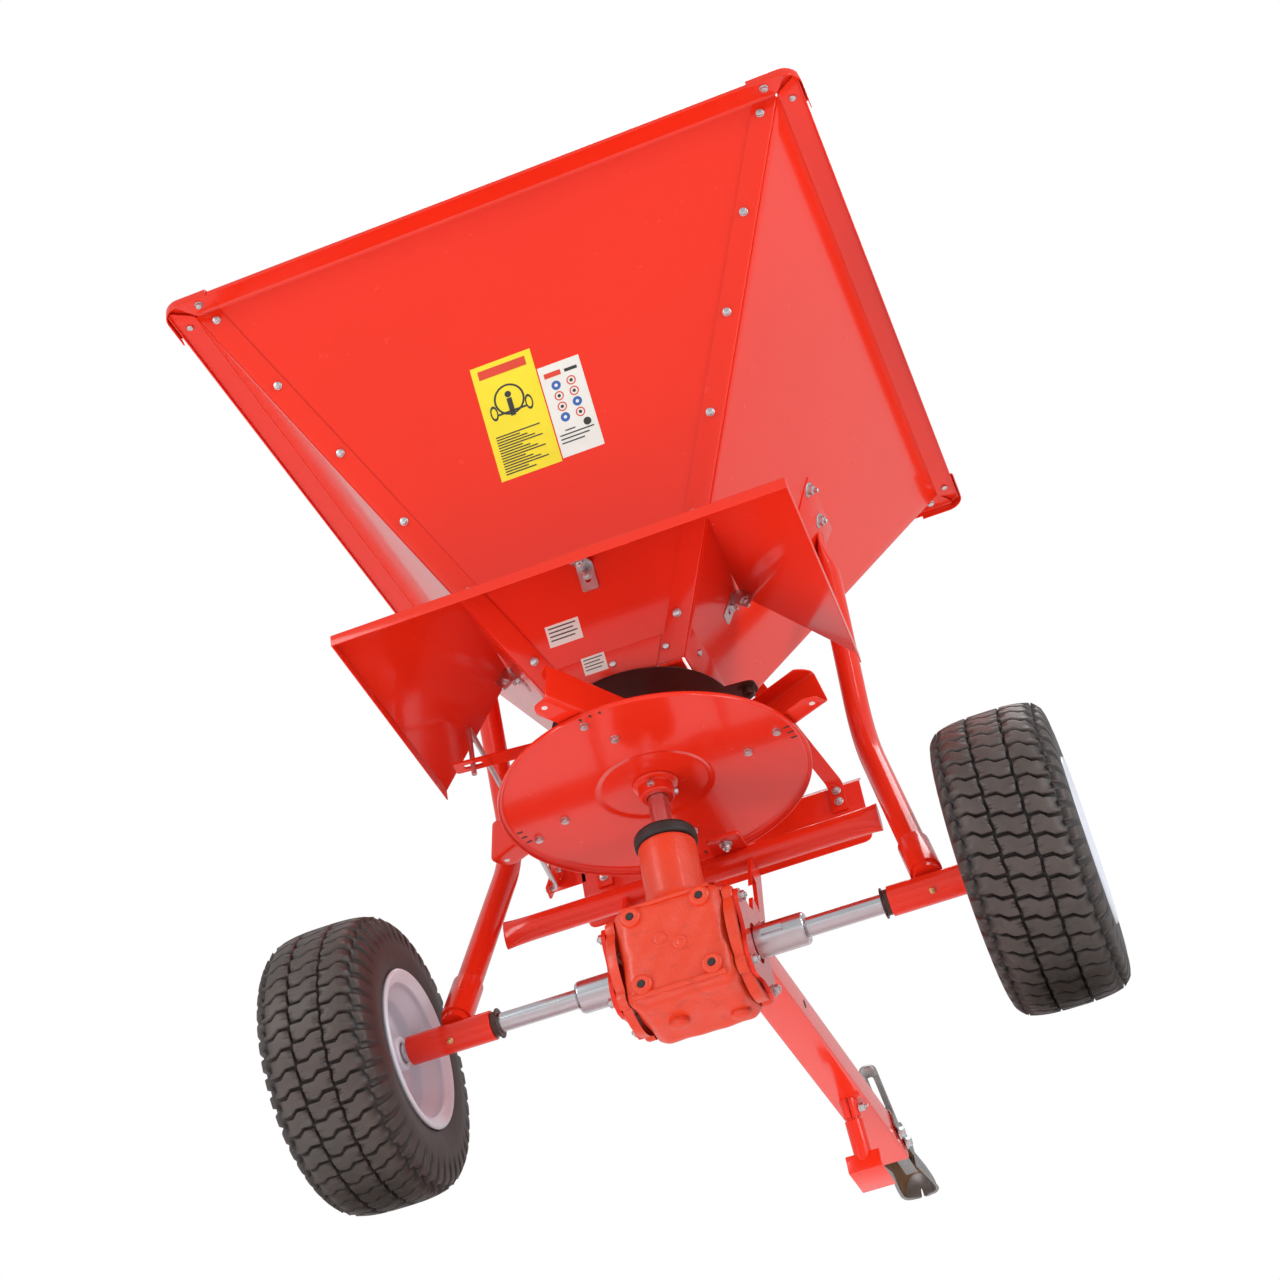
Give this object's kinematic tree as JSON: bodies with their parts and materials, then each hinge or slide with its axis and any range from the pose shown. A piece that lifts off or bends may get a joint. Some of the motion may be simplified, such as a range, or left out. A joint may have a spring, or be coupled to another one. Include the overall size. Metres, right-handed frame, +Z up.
{
  "type": "tow-behind broadcast spreader",
  "caption": "Tow-behind garden spreader with a square sheet-steel hopper, a ground-driven spreading disc on a bevel gearbox, pneumatic tyres, a drawbar with a ball coupler and a sliding stand.",
  "frame": {"origin": "on the ground under the middle of the spreader's length and width", "axes": "+X to the right, +Y forward along the drawbar, +Z up"},
  "size_m": [1.138, 2.071, 1.3143],
  "materials": {
    "red_paint": "glossy",
    "cast_red_paint": "semi-gloss over rough casting",
    "zinc_plate": "zinc plated",
    "bare_steel": "turned and polished",
    "dark_plate": "satin",
    "rubber": "matte",
    "tyre_rubber": "matte with worn tread",
    "rim_paint": "glossy",
    "bush_brass": "satin"
  },
  "bodies": {
    "frame": {"hopper_panel_rear": "red_paint", "hopper_panel_front": "red_paint", "hopper_panel_left": "red_paint", "hopper_panel_right": "red_paint", "corner_cap_rear_left": "red_paint", "corner_cap_rear_right": "red_paint", "corner_cap_front_left": "red_paint", "corner_cap_front_right": "red_paint", "outlet_floor": "red_paint", "metering_plate": "dark_plate", "spread_shield": "red_paint", "shield_bracket_rear": "zinc_plate", "shield_bracket_left": "zinc_plate", "shield_bracket_right": "zinc_plate", "side_tube_left": "red_paint", "side_tube_right": "red_paint", "cross_tube": "red_paint", "gearbox_web_left": "red_paint", "gearbox_web_right": "red_paint", "drawbar": "red_paint", "stand_sleeve": "red_paint", "coupler_body": "zinc_plate", "coupler_pin_lugs": "zinc_plate", "guard_plate": "red_paint", "guard_strap_left": "red_paint", "guard_strap_right": "red_paint", "gearbox_case": "cast_red_paint", "gearbox_cover_left": "cast_red_paint", "gearbox_cover_right": "cast_red_paint", "axle_bearing_left": "bare_steel", "axle_bearing_right": "bare_steel", "neck_bearing": "bare_steel", "seal_ring": "rubber", "hub_tube_left": "red_paint", "hub_tube_right": "red_paint", "hub_bush_left": "bush_brass", "hub_bush_right": "bush_brass"},
    "drive_axle": {"axle_shaft": "bare_steel", "drive_sleeve_left": "bare_steel", "drive_sleeve_right": "bare_steel", "bevel_wheel": "bare_steel", "rim_right": "rim_paint", "tyre_right": "tyre_rubber"},
    "left_wheel": {"rim_left": "rim_paint", "tyre_left": "tyre_rubber"},
    "rotor": {"output_shaft": "bare_steel", "bevel_pinion": "bare_steel", "spreading_disc": "red_paint", "disc_hub": "red_paint", "vane_1": "red_paint", "vane_2": "red_paint", "vane_3": "red_paint", "vane_4": "red_paint", "agitator": "zinc_plate"},
    "shutter": {"shutter_plate": "dark_plate"},
    "dosing_rod": {"control_rod": "zinc_plate"},
    "lever": {"dosing_lever": "red_paint"},
    "stand": {"stand_leg": "red_paint"},
    "handle": {"coupler_handle": "zinc_plate"},
    "latch": {"coupler_latch": "zinc_plate"}
  },
  "joints": [
    {"name": "axle_spin", "type": "hinge", "parent": "frame", "child": "drive_axle", "pos_m": [0, -0.5665, 0.2032], "axis": [1, 0, 0], "continuous": true},
    {"name": "left_wheel_spin", "type": "hinge", "parent": "frame", "child": "left_wheel", "pos_m": [-0.485, -0.5665, 0.2032], "axis": [1, 0, 0], "continuous": true},
    {"name": "rotor_spin", "type": "hinge", "parent": "frame", "child": "rotor", "pos_m": [0, -0.5665, 0.5], "axis": [0, 0, 1], "continuous": true},
    {"name": "shutter_turn", "type": "hinge", "parent": "frame", "child": "shutter", "pos_m": [0, -0.5665, 0.6164], "axis": [0, 0, -1], "range_deg": [0, 13.7]},
    {"name": "rod_slide", "type": "slide", "parent": "frame", "child": "dosing_rod", "axis": [0, 0.9478, -0.3189], "range_m": [0, 0.0662]},
    {"name": "lever_turn", "type": "hinge", "parent": "frame", "child": "lever", "pos_m": [-0.272, -0.2115, 0.6404], "axis": [1, 0, 0], "range_deg": [0, 45.2]},
    {"name": "stand_slide", "type": "slide", "parent": "frame", "child": "stand", "axis": [0, 0.3156, -0.9489], "range_m": [0, 0.045]},
    {"name": "handle_turn", "type": "hinge", "parent": "frame", "child": "handle", "pos_m": [0, 0.8415, 0.5102], "axis": [-1, 0, 0], "range_deg": [0, 60]},
    {"name": "latch_slide", "type": "slide", "parent": "frame", "child": "latch", "axis": [0, 0, 1], "range_m": [0, 0.0084]}
  ],
  "couplings": [
    {"joint": "rotor_spin", "follows": "axle_spin", "ratio": 2},
    {"joint": "rod_slide", "follows": "shutter_turn", "m_per_rad": 0.2756},
    {"joint": "lever_turn", "follows": "shutter_turn", "ratio": 3.28},
    {"joint": "latch_slide", "follows": "handle_turn", "m_per_rad": 0.0078}
  ]
}
